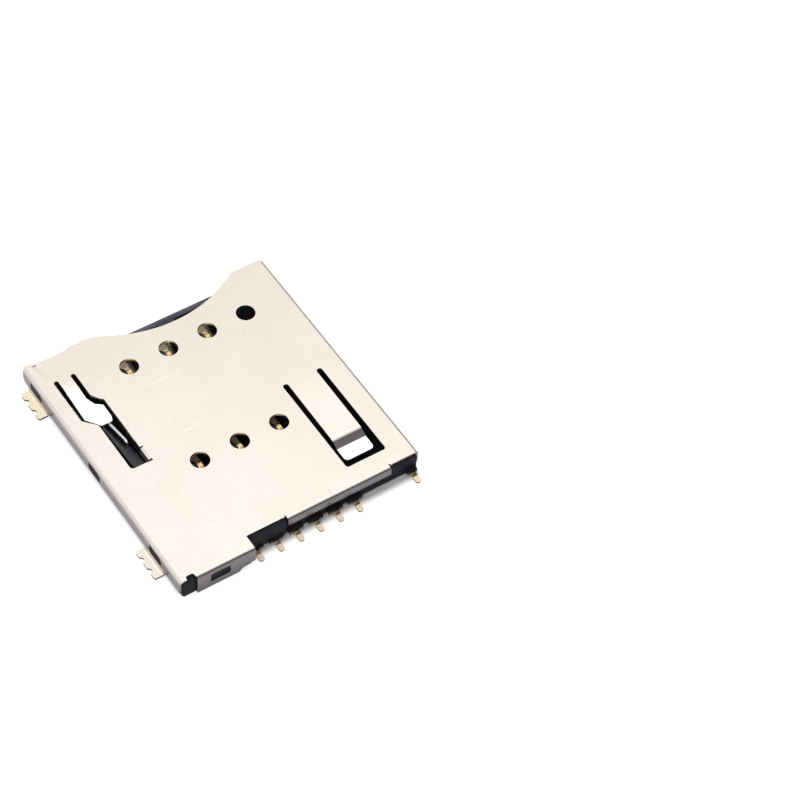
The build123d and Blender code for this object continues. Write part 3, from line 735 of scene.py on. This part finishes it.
class SOCKET_OT_contacts(bpy.types.Operator):
    """Finish of the six contacts and the card detect terminal"""

    bl_idname = "socket.contacts"
    bl_label = "Dress the contacts"

    def execute(self, context):
        strip = contact_strip(context.scene.socket_colours)
        for name in (*CONTACTS, "detect_terminal"):
            dress(name, strip)
            rounded_copy(name, context.scene.socket_sizes.punched_edge, "frame", strip)
        return {"FINISHED"}


class SOCKET_OT_slider(bpy.types.Operator):
    """Finish of the slider"""

    bl_idname = "socket.slider"
    bl_label = "Dress the slider"

    def execute(self, context):
        polymer = slider_polymer(context.scene.socket_colours)
        dress("slider", polymer)
        rounded_copy("slider", context.scene.socket_sizes.moulded_edge, "slide", polymer)
        return {"FINISHED"}


class SOCKET_OT_coil(bpy.types.Operator):
    """Round coil spring behind the slider"""

    bl_idname = "socket.coil"
    bl_label = "Make the coil spring"

    def execute(self, context):
        sizes = context.scene.socket_sizes
        sides, steps_per_turn = 12, 20
        low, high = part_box("eject_spring")
        radius = sizes.spring_wire / 2
        middle = (low + high) / 2
        mean = (high.x - low.x) / 2 - radius
        front, rear = low.y + radius, high.y - radius
        steps = sizes.spring_turns * steps_per_turn
        bm = bmesh.new()
        start = Vector((middle.x + mean, front, middle.z))
        ring = wire_ring(bm, radius, sides, start, Vector((0, 0, -1)))
        draw_on(
            bm,
            ring,
            shift=(0, (rear - front) / steps, 0),
            centre=(middle.x, front, middle.z),
            axis=(0, 1, 0),
            angle=math.tau * sizes.spring_turns,
            steps=steps,
        )
        close_ends(bm)
        steel = spring_wire_steel(context.scene.socket_colours)
        piece = finish_piece("coil_spring", bm, "frame", steel)
        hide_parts("eject_spring")
        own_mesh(piece)
        return {"FINISHED"}


class SOCKET_OT_cam_wire(bpy.types.Operator):
    """Round bent wire between the pivot hole of the base and the cam lane of the slider"""

    bl_idname = "socket.cam_wire"
    bl_label = "Make the cam wire"

    def execute(self, context):
        sizes = context.scene.socket_sizes
        sides, bend_steps = 16, 10
        # corners of the centre line in mm: in plan, and the heights of both feet and of the run
        pivot, elbow, tip = (6.10, -7.08), (5.47, -3.10), (5.25, -1.50)
        pivot_foot, run, tip_foot = 0.12, 0.84, 0.59
        line = [(*pivot, pivot_foot), (*pivot, run), (*elbow, run), (*tip, run), (*tip, tip_foot)]
        line = [Vector(point) * MM for point in line]
        bm = bmesh.new()
        ring = wire_ring(bm, sizes.cam_wire / 2, sides, line[0], line[1] - line[0])
        here = line[0]
        for before, corner, after in zip(line, line[1:], line[2:]):
            arriving, leaving = (corner - before).normalized(), (after - corner).normalized()
            turn = arriving.angle(leaving)
            reach = sizes.wire_bend * math.tan(turn / 2)
            ring = draw_on(bm, ring, shift=corner - arriving * reach - here)
            axis = arriving.cross(leaving).normalized()
            centre = corner - arriving * reach + axis.cross(arriving) * sizes.wire_bend
            ring = draw_on(bm, ring, centre=centre, axis=axis, angle=turn, steps=bend_steps)
            here = corner + leaving * reach
        draw_on(bm, ring, shift=line[-1] - here)
        close_ends(bm)
        steel = spring_wire_steel(context.scene.socket_colours)
        dress("cam_pin", steel)
        piece = finish_piece("cam_wire", bm, "wire", steel)
        piece.data.set_sharp_from_angle(angle=math.radians(40))
        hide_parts("cam_pin")
        return {"FINISHED"}


def lay_floor(scene):
    """Lays the paper that the socket stands on."""
    bm = bmesh.new()
    bmesh.ops.create_grid(bm, x_segments=1, y_segments=1, size=scene.socket_sizes.floor_size / 2)
    mesh = bpy.data.meshes.new("paper_floor")
    bm.to_mesh(mesh)
    bm.free()
    mesh.materials.append(paper_sweep(scene.socket_colours))
    floor = bpy.data.objects.new("paper_floor", mesh)
    scene.collection.objects.link(floor)


def hang_lamp(scene):
    """Hangs a soft box behind the socket, which gives the soft shadow."""
    soft_box = bpy.data.lights.new("soft_box", "AREA")
    soft_box.shape = "RECTANGLE"
    soft_box.size = LAMP_SIZE
    soft_box.size_y = LAMP_SIZE
    soft_box.energy = LAMP_POWER
    lamp = bpy.data.objects.new("soft_box", soft_box)
    aim = Vector(LAMP_TOWARD).normalized()
    lamp.location = aim * LAMP_DISTANCE
    lamp.rotation_euler = aim.to_track_quat("Z", "Y").to_euler()
    scene.collection.objects.link(lamp)


def light_room(scene):
    """Lights the room round the socket, which the metal reflects."""
    world = bpy.data.worlds.new("studio")
    world.use_nodes = True
    tree = world.node_tree
    tree.nodes.clear()
    toward = put(tree, "ShaderNodeTexCoord").outputs["Generated"]
    level = 0.0
    for direction, (edge, full), (outside, inside) in BRIGHT_AREAS:
        facing = put(tree, "ShaderNodeVectorMath", {0: toward, 1: direction}, operation="DOT_PRODUCT")
        span = {"From Min": edge, "From Max": full, "To Min": outside, "To Max": inside}
        area = put(tree, RANGE, {"Value": facing.outputs["Value"], **span}, **SOFT)
        level = put(tree, MATH, {0: level, 1: area}, operation="ADD")
    # pale studio walls stand all round near the horizon
    height = put(tree, SPLIT, {"Vector": toward}).outputs["Z"]
    walls = put(tree, RANGE, {"Value": height, "From Min": 0.45, "From Max": 0.20, "To Max": 0.5}, **SOFT)
    level = put(tree, MATH, {0: level, 1: walls}, operation="ADD")
    shade = put(tree, "ShaderNodeBackground", {"Color": ROOM_COLOUR, "Strength": level})
    put(tree, "ShaderNodeOutputWorld", {"Surface": shade})
    scene.world = world


def set_camera(scene):
    """Sets the camera where the photograph was taken."""
    camera_data = bpy.data.cameras.new("camera")
    camera_data.lens = CAMERA_LENS
    camera_data.sensor_width = SENSOR_WIDTH
    camera_data.clip_start, camera_data.clip_end = CAMERA_CLIP
    camera = bpy.data.objects.new("camera", camera_data)
    turn = Matrix((CAMERA_RIGHT, CAMERA_UP, CAMERA_BACK)).transposed().to_4x4()
    camera.matrix_world = Matrix.Translation(CAMERA_PLACE) @ turn
    scene.collection.objects.link(camera)
    scene.camera = camera


class SOCKET_OT_stage(bpy.types.Operator):
    """Paper floor, soft studio light and the camera of the photograph"""

    bl_idname = "socket.stage"
    bl_label = "Set the stage"

    def execute(self, context):
        lay_floor(context.scene)
        hang_lamp(context.scene)
        light_room(context.scene)
        set_camera(context.scene)
        context.scene.view_settings.view_transform = "Standard"
        return {"FINISHED"}


class SOCKET_PT_panel(bpy.types.Panel):
    """Lists the settings and what makes the socket"""

    bl_idname = "SOCKET_PT_panel"
    bl_label = "Card Socket"
    bl_space_type = "VIEW_3D"
    bl_region_type = "UI"
    bl_category = "Card Socket"

    def draw(self, context):
        for group in (context.scene.socket_sizes, context.scene.socket_colours):
            for name in group.__annotations__:
                self.layout.prop(group, name)
        for operator in OPERATORS:
            self.layout.operator(operator.bl_idname)


OPERATORS = (
    SOCKET_OT_shell,
    SOCKET_OT_housing,
    SOCKET_OT_contacts,
    SOCKET_OT_slider,
    SOCKET_OT_coil,
    SOCKET_OT_cam_wire,
    SOCKET_OT_stage,
)
CLASSES = (SOCKET_PG_sizes, SOCKET_PG_colours, *OPERATORS, SOCKET_PT_panel)


def register():
    for made in CLASSES:
        bpy.utils.register_class(made)
    bpy.types.Scene.socket_sizes = PointerProperty(type=SOCKET_PG_sizes)
    bpy.types.Scene.socket_colours = PointerProperty(type=SOCKET_PG_colours)


def unregister():
    del bpy.types.Scene.socket_colours
    del bpy.types.Scene.socket_sizes
    for made in reversed(CLASSES):
        bpy.utils.unregister_class(made)


def main():
    register()
    bpy.ops.socket.shell()
    bpy.ops.socket.housing()
    bpy.ops.socket.contacts()
    bpy.ops.socket.slider()
    bpy.ops.socket.coil()
    bpy.ops.socket.cam_wire()
    bpy.ops.socket.stage()


if __name__ == "__main__":
    main()
